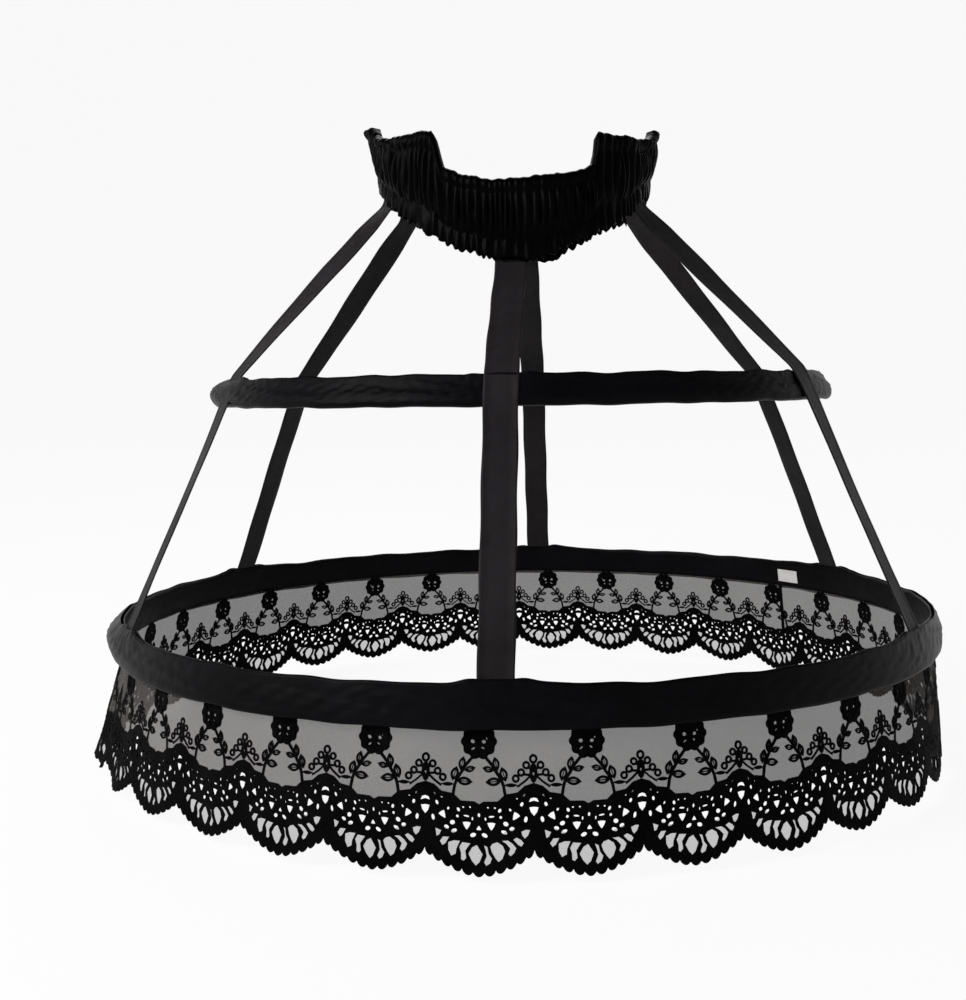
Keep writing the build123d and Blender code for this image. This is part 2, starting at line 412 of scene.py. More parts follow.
# %% Shared sizes
MM = 0.001
WAIST_RADIUS = 0.6 / TURN
LACE_FIRST = -1.85
LACE_PITCH = 360 / LACE_REPEATS
JOINT_BEARING = 131.2
TAPE_BEARINGS = range(0, 360, 60)
TAPE_WIDTH = 0.019


class Ring:
    """A hoop's casing in the frame: a folded strip round the Z axis, on a slant."""

    def __init__(self, node_name, tilt, drop, height, seam_half):
        self.tilt = math.radians(tilt)
        self.drop = drop
        self.height = height
        self.seam_half = seam_half
        low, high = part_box(node_name)
        cos, sin = math.cos(self.tilt), math.sin(self.tilt)
        self.reach = (-low.z - drop - height / 2 * cos) / sin
        self.radius = high.x - self.reach * cos - height / 2 * sin
        print(node_name, "radius", round(self.radius, 4), "half thickness", round(self.reach, 5))

    def at(self, out, rise):
        """Radius and height of a place outward of the strip's middle and up its slant."""
        cos, sin = math.cos(self.tilt), math.sin(self.tilt)
        return self.radius + out * cos - rise * sin, -self.drop + out * sin + rise * cos


MID = Ring("mid_casing", 20, 0.13, 0.018, 0.00015)
HEM = Ring("hem_casing", 9.5, 0.2849, 0.022, 0.00063)


def around(bearing, radius, height):
    """Points in space, as an array, from bearings in degrees, radii and heights."""
    angle = np.radians(bearing - 90)
    flat = np.broadcast_arrays(radius * np.cos(angle), radius * np.sin(angle), height)
    return np.stack(flat, axis=-1)


def waves(bearing, *parts_of):
    """A sum of sine waves round the ring: each is (how many, how high, phase)."""
    angle = np.radians(bearing)
    return sum(high * np.sin(count * angle + phase) for count, high, phase in parts_of)


def bell(value, centre, width):
    """A smooth bump of height one."""
    return np.exp(-(((value - centre) / width) ** 2))


def turn_apart(bearing, other):
    """How far apart two bearings are, from -180 to 180 degrees."""
    return (bearing - other + 180) % 360 - 180


def near(bearing, centre, width):
    """A smooth bump of height one about a bearing."""
    return bell(turn_apart(bearing, centre), 0, width)


def near_both(bearing, centre, width):
    """The same about a bearing and its mirror image."""
    return bell(np.abs(turn_apart(bearing, 0)), centre, width)


def by_bearing(bearing, table):
    """Metres at each bearing, between a table's pairs of degrees and millimetres."""
    return np.interp(turn_apart(bearing, 0), *zip(*table)) * MM


# %% [markdown]
# ## From a grid of points to cloth
#
# Each cloth is worked out as a grid of points on its middle surface: rows run along
# its cross-section and columns along its length. `cloth_from_grid` lays a second
# surface one thickness away and closes the edges, because cloth has two faces.
# It also writes a UV map in metres, measured along the grid itself.

# %% Cloth from a grid
def grid_normals(points, closed):
    """Unit normals of a grid of points, with its columns joined in a ring or not."""
    ringed = np.concatenate([points[:, -1:], points, points[:, :1]], axis=1) if closed else points
    by_column = np.gradient(ringed, axis=1)
    by_column = by_column[:, 1:-1] if closed else by_column
    normals = np.cross(by_column, np.gradient(points, axis=0))
    return normals / np.maximum(np.linalg.norm(normals, axis=-1, keepdims=True), 1e-12)


def metres_along(points, closed):
    """Each grid point's distance along its row and along its column."""
    ringed = np.concatenate([points, points[:, :1]], axis=1) if closed else points
    across = np.linalg.norm(np.diff(ringed, axis=1), axis=-1).mean(axis=0)
    along = np.linalg.norm(np.diff(ringed, axis=0), axis=-1)
    u = np.concatenate([[0], np.cumsum(across)])
    v = np.concatenate([np.zeros((1, ringed.shape[1])), np.cumsum(along, axis=0)])
    return np.stack([np.broadcast_to(u, v.shape), v], axis=-1)


def link_mesh(name, points, faces, corner_maps, material, smooth=True):
    """Make an object from points and faces, with UV maps by corner."""
    mesh = bpy.data.meshes.new(name)
    mesh.from_pydata([tuple(p) for p in points], [], [tuple(f) for f in faces])
    for map_name, corners in corner_maps.items():
        layer = mesh.uv_layers.new(name=map_name)
        layer.data.foreach_set("uv", np.asarray(corners, np.float32).ravel())
    mesh.polygons.foreach_set("use_smooth", [smooth] * len(mesh.polygons))
    mesh.materials.append(material)
    mesh.update()
    made = bpy.data.objects.new(name, mesh)
    bpy.context.scene.collection.objects.link(made)
    print("made", name, sum(len(f) - 2 for f in faces), "triangles")
    return made


def cloth_from_grid(name, points, thickness, closed, material, more_maps=None):
    """A closed piece of cloth, half a thickness to each side of a grid of points."""
    rows, columns = points.shape[:2]
    normals = grid_normals(points, closed) * thickness / 2
    shell = np.concatenate([(points + normals).reshape(-1, 3), (points - normals).reshape(-1, 3)])
    one, two = 0, rows * columns
    spans = columns if closed else columns - 1
    r, c = [index.ravel() for index in np.mgrid[0:rows - 1, 0:spans]]
    edge, side = np.arange(spans), np.arange(rows - 1)
    top, end = rows - 1, columns - 1
    quads = [
        [(r, c, one), (r, c + 1, one), (r + 1, c + 1, one), (r + 1, c, one)],
        [(r + 1, c, two), (r + 1, c + 1, two), (r, c + 1, two), (r, c, two)],
        [(0, edge, two), (0, edge + 1, two), (0, edge + 1, one), (0, edge, one)],
        [(top, edge, one), (top, edge + 1, one), (top, edge + 1, two), (top, edge, two)],
    ]
    if not closed:
        quads += [
            [(side, 0, one), (side + 1, 0, one), (side + 1, 0, two), (side, 0, two)],
            [(side, end, two), (side + 1, end, two), (side + 1, end, one), (side, end, one)],
        ]
    faces = np.concatenate([
        np.stack([row * columns + column % columns + layer for row, column, layer in quad], axis=1)
        for quad in quads
    ])
    maps = {}
    for map_name, values in {"cloth": metres_along(points, closed), **(more_maps or {})}.items():
        maps[map_name] = np.concatenate([
            np.stack([values[row, column] for row, column, _ in quad], axis=1).reshape(-1, 2)
            for quad in quads
        ])
    return link_mesh(name, shell, faces.tolist(), maps, material)


# %% [markdown]
# ## The gathered waistband
#
# A long strip of satin is folded over at the top and sewn round an elastic. The
# elastic pulls it in, so it stands in many small upright pleats, with a loose
# frill below the lower stitching and a stiff little header above the upper one.
# The strip's path is written as a function: a fold in cross-section, pushed out
# and in by pleats that are uneven in width and grow towards the free edges.
#
# Both edges are tables of a bearing and a height. The front's top drops sharply
# where the band is folded down, and the two sides lie inside the band's circle.

# %% Waistband outline
BAND_COLUMNS = 1260
BACK_TOP, BACK_SAG, BACK_RIGHT_DIP = 0.044, 0.028, 0.004
SAG_POWER = 1.5
TOP_EDGE_FRONT = [
    (-90, 44.5), (-78, 44.5), (-72, 38.5), (-64, 32.5), (-46, 29.6), (-36, 30.5), (-31, 29.5),
    (-29, 24.5), (-27.5, 15.0), (-26, 6.8), (-18, 1.0), (-7, -3.2), (2, -2.8), (12, -1.0),
    (25, 1.5), (31.5, 6.5), (32.6, 14.0), (33.4, 23.5), (34.5, 26.2), (46, 25.8), (62, 27.2),
    (70, 30.0), (78, 37.2), (84, 38.5), (90, 40.0),
]
BOTTOM_EDGE = [
    (-180, -35), (-168, -33), (-158, -24), (-143, -14), (-120, -8), (-108, 1), (-98, 9),
    (-90, 12), (-80, 9.5), (-72, 3.5), (-65, -2.5), (-60, -6.5), (-55, -12), (-39, -25),
    (-21, -42), (-7, -49.5), (9, -51.5), (18, -44.6), (25, -38.5), (32, -33), (38, -29.5),
    (51, -20.5), (58, -12), (66, -6), (78, -1), (90, 1), (104, -3.5), (120, -10), (143, -14),
    (158, -24), (168, -33), (180, -35),
]


def band_edges(bearing):
    """Heights of the band's top and bottom edges at each bearing."""
    turned = turn_apart(bearing, 0)
    across = np.abs(np.sin(np.radians(bearing)))
    back_top = BACK_TOP - BACK_SAG * (1 - across**SAG_POWER)
    back_top = back_top - BACK_RIGHT_DIP * bell(turned, 90, 25)
    in_front = np.cos(np.radians(bearing)) > 0
    top = np.where(in_front, by_bearing(bearing, TOP_EDGE_FRONT), back_top)
    return top, by_bearing(bearing, BOTTOM_EDGE)


def drawn_in(bearing, share):
    """How far the band's sides lie inside its circle, at a share of its height."""
    left = near(bearing, -88, 34) * (0.5 + 4.0 * (1 - share))
    right = near(bearing, 88, 38) * (5.5 + 4.5 * (1 - share))
    return (left + right) * MM


def pleats(bearing, count, phase):
    """Rounded ridges with sharp valleys between them, from 0 to 1, uneven in width."""
    uneven = waves(bearing, (5, 1.9, phase), (11, 1.3, 2 * phase), (23, 0.8, 3 * phase))
    return np.abs(np.cos(count / 2 * np.radians(bearing) + uneven))


band_bearing = np.arange(BAND_COLUMNS) * 360 / BAND_COLUMNS
band_top, band_bottom = band_edges(band_bearing)
ripple = waves(band_bearing, (47, 0.0005, 0.3), (83, 0.0005, 1.1), (29, 0.0004, 2.0))
band_bottom = band_bottom + ripple - 1.9 * MM * pleats(band_bearing, 112, 1.0)
band_top = band_top + 0.4 * ripple + 0.3 * MM * pleats(band_bearing, 120, 2.0)

# %% [markdown]
# The cross-section runs up the inner ply, over the top and down the outer ply.
# Each row has a share of the height, and then in millimetres its distance from
# the elastic's pocket and the depth of its pleats. The two stitch lines are rows
# with hardly any depth. The elastic lies between them and follows the band.

# %% Waistband and elastic pieces
BAND_PLY = 0.0005
POCKET_HALF = 0.0012
ELASTIC_THICK = 0.0014
ELASTIC_LOW, ELASTIC_HIGH = 0.27, 0.79
SIDE_LEAN = 0.0012
OUTER_LEAN = 1.6
FLARE_FROM = 0.55
LEFT_FLARE, RIGHT_FLARE = 0.012, 0.006
ROLL, ROLL_FROM = 0.0032, 0.45
PUCKERS = ((61, 0.0005, 0.0), (37, 0.0004, 1.0))
OUTER_ROWS = [
    (1.0, 0.0, 0.4), (0.985, 0.9, 0.8), (0.95, 1.3, 1.1), (0.90, 1.4, 1.4), (0.86, 1.2, 1.3),
    (0.83, 1.0, 0.9), (0.81, 1.0, 0.9), (0.78, 1.1, 1.2), (0.74, 1.3, 1.6), (0.68, 1.5, 1.9),
    (0.61, 1.6, 2.0), (0.54, 1.6, 2.0), (0.47, 1.6, 2.0), (0.40, 1.5, 2.0), (0.34, 1.3, 1.8),
    (0.29, 1.0, 1.2), (0.255, 0.5, 0.5), (0.235, 0.5, 0.6), (0.20, 0.7, 0.9), (0.15, 0.9, 1.2),
    (0.10, 1.0, 1.4), (0.05, 1.0, 1.6), (0.0, 0.9, 1.7),
]
INNER_ROWS = [
    (0.12, 0.6, 0.8), (0.18, 0.5, 0.8), (0.245, 0.3, 0.3), (0.32, 0.6, 1.0), (0.45, 0.8, 1.3),
    (0.60, 0.8, 1.3), (0.74, 0.6, 0.9), (0.82, 0.3, 0.3), (0.90, 0.7, 0.9), (0.97, 0.6, 0.6),
]
close_pleats = pleats(band_bearing, 132, 0.4)
loose_pleats = pleats(band_bearing, 88, 1.7)
deepen = 0.6 + 0.6 * (0.5 + 0.5 * near_both(band_bearing, 50, 28))
side_lean = SIDE_LEAN * near_both(band_bearing, 90, 30)
corners = LEFT_FLARE * near(band_bearing, -84, 8) + RIGHT_FLARE * near(band_bearing, 80, 8)
roll_place = ROLL * near_both(band_bearing, 58, 24)


def band_ring(share, out):
    """A row of the band at a share of its height, some way outward of its circle."""
    level = band_bottom + share * (band_top - band_bottom)
    return around(band_bearing, WAIST_RADIUS + out - drawn_in(band_bearing, share), level)


def outer_row(share, out, depth):
    """A row of the outer ply, with its puckers, its flared corners and its roll."""
    frill, header = np.clip(1.6 - share * 3.4, 0, 1), np.clip((share - 0.86) * 6, 0, 1)
    loose = frill + header
    folds = close_pleats * (1 - loose) + loose_pleats * loose
    pucker = waves(band_bearing + 9 * share, *PUCKERS) * (1 - abs(2 * share - 1))
    pocket = POCKET_HALF * min(1.0, (1 - share) * 30)
    moved = pocket + (out + depth * folds * deepen) * MM + pucker
    flare = corners * max(0.0, share - FLARE_FROM)
    lean = OUTER_LEAN * side_lean * min(0.0, share - 0.5)
    roll = waves(band_bearing + 30 * share, (19, 1.0, 0.6)) * np.clip(share - ROLL_FROM, 0, 0.5)
    return band_ring(share, moved + flare + lean + roll * roll_place)


band_rows = []
for share, out, depth in INNER_ROWS:
    lean = side_lean * min(0.0, share - 0.5)
    band_rows.append(band_ring(share, lean - POCKET_HALF - (out + depth * close_pleats) * MM))
for share, out, depth in OUTER_ROWS:
    band_rows.append(outer_row(share, out, depth))
waistband = cloth_from_grid(
    "waistband_gathered", np.array(band_rows), BAND_PLY, True, cloth["gathered_satin"]
)
elastic_rows = [
    band_ring(share, side_lean * min(0.0, share - 0.5))[::3]
    for share in np.linspace(ELASTIC_LOW, ELASTIC_HIGH, 9)
]
elastic = cloth_from_grid(
    "waist_elastic_soft", np.array(elastic_rows), ELASTIC_THICK, True, cloth["black_elastic"]
)

# %% [markdown]
# ## The hoop casings
#
# Each hoop runs in a strip of satin that is folded round it, with the fold below
# and the seam above. A circle with a bevel would be a pipe. The grid of points
# gives room for what makes it cloth: a slack outer ply, a seam that waves, short
# creases where it is sewn to the tapes, and a join where the strip's ends meet.

# %% Casing pieces
CASING_PLY = 0.0005
CASING_COLUMNS = 1080
SEAM_WAVES = ((17, 0.0003, 0.2), (31, 0.00035, 1.4), (53, 0.0002, 2.2))
SLACK_WAVES = ((23, 0.00028, 0.5), (41, 0.0003, 1.9), (67, 0.00022, 0.7))
CREASE_WAVES = ((97, 0.00022, 0.0), (139, 0.00018, 1.0), (61, 0.0002, 2.0))
LEFT_BULGE, RIGHT_BULGE = 0.0066, 0.0026
BULGE_WIDE = 17
TAPE_EDGE_TURN = 3.1 * 0.27
TAPE_PULL = 0.0013
CREASED_WIDE, PRESSED_WIDE, TENT_WIDE = 5.5, 3.6, 7.5
JOIN_THICK, JOIN_WIDE = 0.0006, 0.9
INNER_SLACK = 0.35
STEEL_AT, HOLLOW_AT, HOLLOW_DEPTH = (0.28, 0.16), (0.62, 0.2), 0.0005


def casing_rows(ring):
    """Cross-section of a folded strip, as distance outward and up its slant."""
    reach = ring.reach - CASING_PLY / 2
    seam = ring.seam_half + CASING_PLY
    bend = 0.9 * reach
    top, floor = ring.height / 2, -ring.height / 2
    inner = [
        (-seam * (1 - s) - reach * s, top * (1 - s) + (floor + bend) * s)
        for s in np.linspace(0, 1, 8)
    ]
    fold = [
        (-reach * math.cos(a), floor + bend * (1 - math.sin(a)))
        for a in np.linspace(0, math.pi, 9)[1:-1]
    ]
    outer = [
        (reach * (1 - s) + seam * s, (floor + bend) * (1 - s) + top * s)
        for s in np.linspace(0, 1, 14)
    ]
    return inner + fold + outer


def at_tapes(bearing, width):
    """Smooth bumps where the six tapes are."""
    return sum(near(bearing, t, width) for t in TAPE_BEARINGS)


def soft_casing(name, ring, crease, steel_ridge, bulge, tent):
    """A casing with its creases, its waving seam and its join."""
    bearing = np.arange(CASING_COLUMNS) * 360 / CASING_COLUMNS
    tape_edge = TAPE_EDGE_TURN / ring.radius
    beside = sum(bell(np.abs(turn_apart(bearing, t)), tape_edge, 1.3) for t in TAPE_BEARINGS)
    pressed = at_tapes(bearing, PRESSED_WIDE) * (steel_ridge > 0)
    tented = (TAPE_PULL * beside + tent * at_tapes(bearing, TENT_WIDE)) * (1 - pressed)
    join = JOIN_THICK * near(bearing, JOINT_BEARING, JOIN_WIDE)
    bulged = LEFT_BULGE * near(bearing, -75, BULGE_WIDE)
    bulged = bulge * (bulged + RIGHT_BULGE * near(bearing, 88, BULGE_WIDE))
    creased = 0.3 + at_tapes(bearing, CREASED_WIDE)
    seam_wave = waves(bearing, *SEAM_WAVES)
    rows = []
    for out, rise in casing_rows(ring):
        outer = out > 0
        high = rise / ring.height + 0.5
        belly = math.sin(math.pi * min(1, max(0, high)))
        slack = belly * waves(bearing + 40 * high, *SLACK_WAVES)
        crinkle = creased * high * waves(bearing - 22 * high, *CREASE_WAVES)
        ridge = steel_ridge * bell(high, *STEEL_AT)
        hollow = HOLLOW_DEPTH * bell(high, *HOLLOW_AT) * (steel_ridge > 0)
        loose = (1 - pressed) if outer else INNER_SLACK
        moved = loose * (np.abs(crease * (slack + crinkle)) + ridge - hollow) + join
        moved = out + (1 if outer else -1) * moved + bulged * belly * outer
        lift = high * (seam_wave + tented * (high > 0.5) * (2 * high - 1))
        lift = lift + (1 - high) * 0.6 * seam_wave
        rows.append(around(bearing, *ring.at(moved, rise + lift)))
    return cloth_from_grid(name, np.array(rows), CASING_PLY, True, cloth["black_satin"])


mid_casing = soft_casing("mid_casing_soft", MID, 1.3, 0.0004, 0.9, 0.0)
hem_casing = soft_casing("hem_casing_soft", HEM, 1.0, 0.0, 1.0, 0.0024)

# %% [markdown]
# ## The six tapes
#
# A tape comes out from under the band, goes over the mid hoop and is caught in the
# seam of the hem casing. Its route is the frame's own, with the corners rounded
# by cutting them again and again. Across its width it is nearly flat, with a
# selvedge that stands a little proud on each side. Between the band and the mid
# hoop the side tapes turn somewhat towards the front or the back.

# %% Tape routes
TAPE_THICK = 0.0008
TAPE_GAP = 0.0004
SEAM_TUCK = 0.005
TAPE_BEND = 0.002
BAND_TUCK = 0.012
CORNER_RUN = 0.008
TAPE_STEP = 0.0018
UPPER_TWIST, LOWER_TWIST = 32, -10


def tape_route(bearing):
    """The tape's middle line as radius and height, from the band to the hem seam."""
    half_turn = math.degrees(TAPE_WIDTH / 2 / WAIST_RADIUS)
    low = band_edges(bearing + np.array([-half_turn, 0, half_turn]))[1].mean() - TAPE_BEND
    crown = TAPE_WIDTH**2 / (8 * WAIST_RADIUS)
    start = WAIST_RADIUS - crown / 2 - float(drawn_in(bearing, 0.1))
    stand_off = TAPE_THICK / 2 + TAPE_GAP
    return [
        (start, low + BAND_TUCK),
        (start, low),
        MID.at(MID.seam_half + CASING_PLY + stand_off, MID.height / 2 + 0.0005),
        MID.at(MID.reach + stand_off, -MID.height / 2),
        HEM.at(0, HEM.height / 2 + 0.001),
        HEM.at(0, HEM.height / 2 - SEAM_TUCK),
    ]


def smooth_route(route):
    """Corners cut three times, each close to its corner, and points set evenly."""
    points = [route[0]]
    for begin, finish in zip(route[:-1], route[1:]):
        run = math.dist(begin, finish)
        if run > 3 * CORNER_RUN:
            for share in (CORNER_RUN / run, 1 - CORNER_RUN / run):
                points.append(tuple(a + share * (b - a) for a, b in zip(begin, finish)))
        points.append(finish)
    points = np.array(points)
    for _ in range(3):
        back, forth = points[:-1], points[1:]
        cut = np.stack([0.75 * back + 0.25 * forth, 0.25 * back + 0.75 * forth], axis=1)
        points = np.concatenate([points[:1], cut.reshape(-1, 2), points[-1:]])
    along = np.concatenate([[0], np.cumsum(np.linalg.norm(np.diff(points, axis=0), axis=1))])
    wanted = np.linspace(0, along[-1], int(along[-1] / TAPE_STEP) + 2)
    return np.stack([np.interp(wanted, along, points[:, i]) for i in (0, 1)], axis=1)


def tape_twist(bearing, height):
    """Degrees that the tape turns: to the front or back above the hoop, less below it."""
    band_low = band_edges(np.array([bearing]))[1][0]
    fallen = (band_low - height) / (band_low + MID.drop)
    upper = UPPER_TWIST * np.interp(fallen, [0, 0.16, 0.35, 1.0], [0, 0.9, 1.0, 0])
    lower = LOWER_TWIST * np.interp(fallen, [1.0, 1.4, 1.9, 2.3], [0, 1.0, 1.0, 0])
    at_front = max(0.0, math.cos(math.radians(bearing)))
    return math.sin(2 * math.radians(bearing)) * (upper + at_front * lower)


# %% Tape pieces
SELVEDGE = 0.0012
SELVEDGE_STEP = 0.0006
SELVEDGE_RISE = 0.00022
TAPE_CROWN = 0.00015
TAPE_BOW = 0.0006
EDGE_WANDER = 0.00025


def woven_tape(name, bearing):
    """One tape, with its selvedges, a slight bow and its turned runs."""
    line = smooth_route(tape_route(bearing))
    share = np.linspace(0, 1, len(line))
    slope = np.gradient(line, axis=0)
    slope /= np.linalg.norm(slope, axis=1, keepdims=True)
    outward = np.stack([-slope[:, 1], slope[:, 0]], axis=1)
    bow = TAPE_BOW * np.sin(math.pi * share) * np.sin(3 * math.pi * share + bearing)
    line = line + outward * bow[:, None]
    facing = np.radians(bearing - 90 - tape_twist(bearing, line[:, 1]))[:, None]
    side = np.concatenate([-np.sin(facing), np.cos(facing), 0 * facing], axis=1)
    half = TAPE_WIDTH / 2
    ridge = half - SELVEDGE
    one_side = [half, ridge, ridge - SELVEDGE_STEP, 0.5 * ridge]
    rows = []
    for width in [*(-w for w in one_side), 0, *one_side[::-1]]:
        raised = TAPE_CROWN * np.cos(width / half * 2) + SELVEDGE_RISE * (abs(width) >= ridge)
        wander = EDGE_WANDER * np.sin(41 * share + 9 * width / half + bearing)
        across = width + wander * (abs(width) == half)
        place_at = line + outward * raised
        rows.append(around(bearing, place_at[:, 0], place_at[:, 1]) + side * across[:, None])
    return cloth_from_grid(name, np.array(rows), TAPE_THICK, False, cloth["woven_tape"])


TAPE_NAMES = ["front", "front_right", "back_right", "back", "back_left", "front_left"]
tapes = {
    place_name: woven_tape(f"tape_{place_name}_woven", tape_bearing)
    for place_name, tape_bearing in zip(TAPE_NAMES, TAPE_BEARINGS)
}

# %% [markdown]
# ## Where the lace hangs
#
# The hem is a band of machine lace: fine net with flowers, sprigs, loops and a
# heavy scalloped border. All of its layers follow one surface, which starts
# behind the casing and flares down a little, with a slow wave, and spreads and
# folds at its two ends. `on_lace` puts a place in one repeat onto that surface.
# Places in a repeat are in millimetres: across from the flower's middle, and down
# from the casing's fold.

# %% The lace surface
LACE_DROP_MM = 71.0
HALF_REPEAT_MM = 27.4
SCALLOP_MM = 13.4
BUMP_MM = 2.3
BUMPS = 5.5
LACE_HIDDEN_MM = 2.4
LACE_FLARE = math.tan(math.radians(7.5))
LACE_WAVES = ((32, 0.0006, 0.9), (13, 0.0009, 0.4), (7, 0.0008, 2.0))
LEFT_SPREAD, RIGHT_SPREAD = 0.010, -0.003
LEFT_FOLD, RIGHT_FOLD = 0.0046, 0.0030

lace_low, lace_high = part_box("lace_trim")
TIP_RADIUS = lace_high.x - 0.0012


def on_lace(bearing, down_mm, lift=0.0):
    """Points on the hanging lace at bearings and depths below the fold."""
    above_tip = (LACE_DROP_MM - down_mm) * MM
    share = np.clip(down_mm / LACE_DROP_MM, 0, 1)
    spread = LEFT_SPREAD * near(bearing, -74, 17) + RIGHT_SPREAD * near(bearing, 82, 14)
    left_folds = waves(bearing + 6 * share, (47, LEFT_FOLD, 0.0)) * near(bearing, -80, 15)
    right_folds = waves(bearing, (53, RIGHT_FOLD, 0.0)) * near(bearing, 86, 11)
    radius = TIP_RADIUS - above_tip * LACE_FLARE + waves(bearing, *LACE_WAVES) * share**1.5
    radius = radius + spread * share**1.3 + (left_folds + right_folds) * share**0.6
    return around(bearing, radius + lift, lace_low.z + above_tip)


def scallop_edge(across_mm):
    """How far down the lace reaches: a round scallop with eleven small bumps."""
    share = np.abs(across_mm) / HALF_REPEAT_MM
    bumps = np.abs(np.cos(math.pi * BUMPS * share * (1 + 0.15 * share**2) / 1.15)) ** 0.6
    return LACE_DROP_MM - BUMP_MM - (SCALLOP_MM - BUMP_MM) * share**1.75 + BUMP_MM * bumps


# %% [markdown]
# ## The net
#
# The net is one sheet all the way round. Its lower rows follow the scallops, held
# back a little, so that it ends under the border as real lace does. Its grid was
# laid from the bottom up, so the map's second number is written again from each
# corner's own height: the ground's material asks for the depth below the fold.

# %% Net piece
NET_THICK = 0.00016
NET_STEPS = 20
NET_HELD_BACK_MM = 2.0
net_columns = LACE_REPEATS * NET_STEPS
repeats = np.arange(net_columns) / NET_STEPS
in_repeat = (repeats + 0.5) % 1 - 0.5
net_edge = scallop_edge(in_repeat * 2 * HALF_REPEAT_MM) - NET_HELD_BACK_MM
net_rows, net_repeats = [], []
for share in np.linspace(1, 0, 18):
    down = -LACE_HIDDEN_MM + share * (net_edge + LACE_HIDDEN_MM)
    crease = 0.0004 * bell(down, 3.0, 1.2)
    net_rows.append(on_lace(LACE_FIRST + repeats * LACE_PITCH, down, crease))
    repeat_u = np.arange(net_columns + 1) / NET_STEPS
    net_repeats.append(np.stack([repeat_u, np.full(net_columns + 1, share)], axis=1))
lace_net = cloth_from_grid(
    "lace_net", np.array(net_rows), NET_THICK, True, net_cloth, {"repeat": np.array(net_repeats)}
)
depth_map = lace_net.data.uv_layers["cloth"].data
for loop in lace_net.data.loops:
    point = lace_net.data.vertices[loop.vertex_index].co
    depth_map[loop.index].uv.y = LACE_DROP_MM * MM - (point.z - lace_low.z)
print("net reaches down", round(max(d.uv.y for d in depth_map), 4))

# %% [markdown]
# ## Cutting shapes in thread
#
# Everything worked on the net is a flat shape with holes and a small thickness.
# A curve object with a fill could make them, but a direct way is shorter: fill
# the outline with triangles, lay the same triangles behind, and close the sides.
# One repeat is made and then laid round the hem thirty-two times.

# %% Shape helpers
class Work:
    """Points and faces of the work in one repeat, in millimetres."""

    def __init__(self):
        self.points = []
        self.faces = []

    def cut(self, outline, holes=(), thick=0.7, lift=0.0):
        """Add a flat shape: an outline, its holes, and a thickness."""
        loops = [list(outline), *[list(h) for h in holes]]
        flat = [(x, y) for loop in loops for x, y in loop]
        fills = tessellate_polygon([[Vector((x, y, 0)) for x, y in loop] for loop in loops])
        begin, count = len(self.points), len(flat)
        for side in (1, -1):
            self.points += [(x, y, lift + side * thick / 2) for x, y in flat]
        for face in fills:
            self.faces.append([begin + i for i in face])
            self.faces.append([begin + count + i for i in reversed(face)])
        for loop in loops:
            for i in range(len(loop)):
                a, b = begin + i, begin + (i + 1) % len(loop)
                self.faces.append([a, b, b + count, a + count])
            begin += len(loop)

    def strip(self, route, width, thick=0.7, lift=0.0):
        """Add a flat thread of one width along a route."""
        points = np.array(route, float)
        slope = np.gradient(points, axis=0)
        slope /= np.linalg.norm(slope, axis=1, keepdims=True)
        side = np.stack([-slope[:, 1], slope[:, 0]], axis=1) * width / 2
        self.cut([*(points + side), *(points - side)[::-1]], (), thick, lift)


def placed(x, y, points, turned):
    """Points turned by some degrees and moved to a place."""
    c, s = math.cos(math.radians(turned)), math.sin(math.radians(turned))
    return [(x + a * c - b * s, y + a * s + b * c) for a, b in points]


def oval(x, y, wide, high, turned=0.0, count=8):
    """Points round an oval."""
    steps = np.arange(count) * TURN / count
    return placed(x, y, zip(wide / 2 * np.cos(steps), high / 2 * np.sin(steps)), turned)


def leaf(x, y, long, wide, turned):
    """Points round a leaf that is pointed at both ends."""
    share = np.linspace(0, 1, 7)
    one = list(zip((share - 0.5) * long, wide / 2 * np.sin(math.pi * share) ** 0.8))
    other = [(a, -b) for a, b in one[::-1]][1:-1]
    return placed(x, y, one + other, turned)


DROP = [
    (-0.5, -0.42), (-0.15, -0.5), (0.15, -0.5), (0.5, -0.42),
    (0.33, 0.05), (0.06, 0.5), (-0.06, 0.5), (-0.33, 0.05),
]


def drop_hole(x, y, wide, high, turned=0.0):
    """Points round a rounded triangle that points down."""
    return placed(x, y, [(a * wide, b * high) for a, b in DROP], turned)


